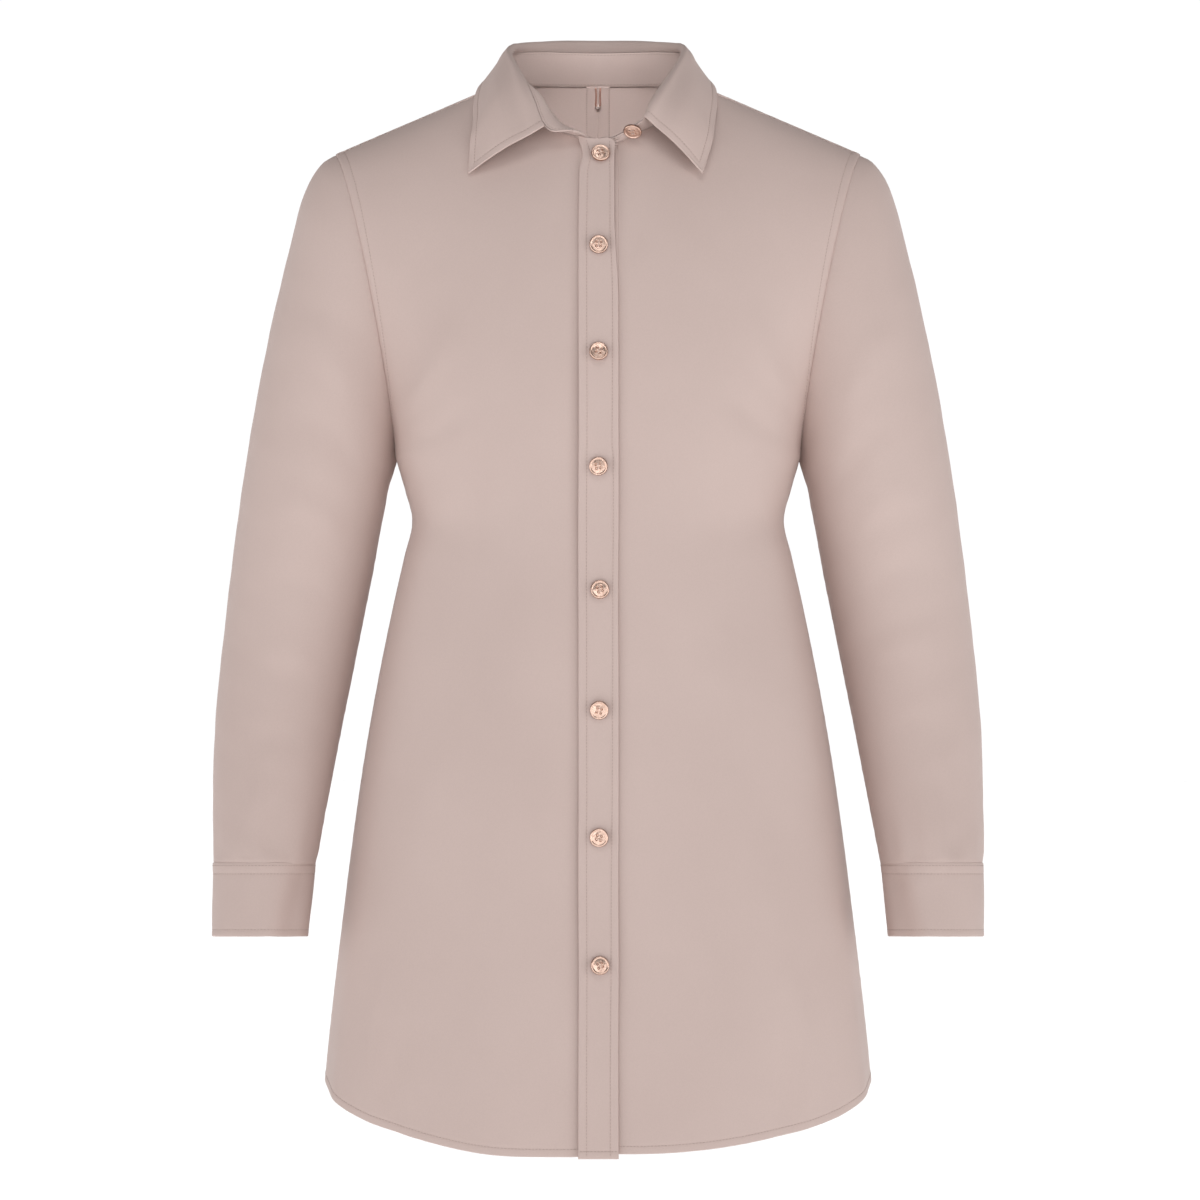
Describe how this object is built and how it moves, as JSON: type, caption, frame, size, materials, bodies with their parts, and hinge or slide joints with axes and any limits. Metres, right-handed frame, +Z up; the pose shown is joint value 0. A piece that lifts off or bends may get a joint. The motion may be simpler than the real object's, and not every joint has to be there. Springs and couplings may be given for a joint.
{
  "type": "long shirt blouse",
  "caption": "Long A-line button-front shirt blouse with pointed collar, long cuffed sleeves and a curved hem, filled out as when worn.",
  "frame": {"origin": "between the shoulders, level with the points where the neckline meets the shoulder seams", "axes": "+X to the wearer's left, -Y the way the front faces, +Z up"},
  "size_m": [0.6122, 0.2857, 0.8866],
  "materials": {
    "cloth": "smooth matt rose-beige stretch cloth with a faint sheen",
    "button": "polished rose-gold metal, a little hammered",
    "ribbon": "satin ribbon, deeper rose than the cloth"
  },
  "bodies": {
    "root": {"front_right": "cloth", "front_left": "cloth", "back_right": "cloth", "back_left": "cloth", "sleeve_right": "cloth", "sleeve_left": "cloth", "cuff_right": "cloth", "cuff_left": "cloth", "collar_band": "cloth", "collar_leaf": "cloth", "placket_right": "cloth", "placket_left": "cloth", "button_1": "button", "button_2": "button", "button_3": "button", "button_4": "button", "button_5": "button", "button_6": "button", "button_7": "button", "button_8": "button", "band_button": "button", "hanger_loop": "ribbon"}
  },
  "joints": []
}
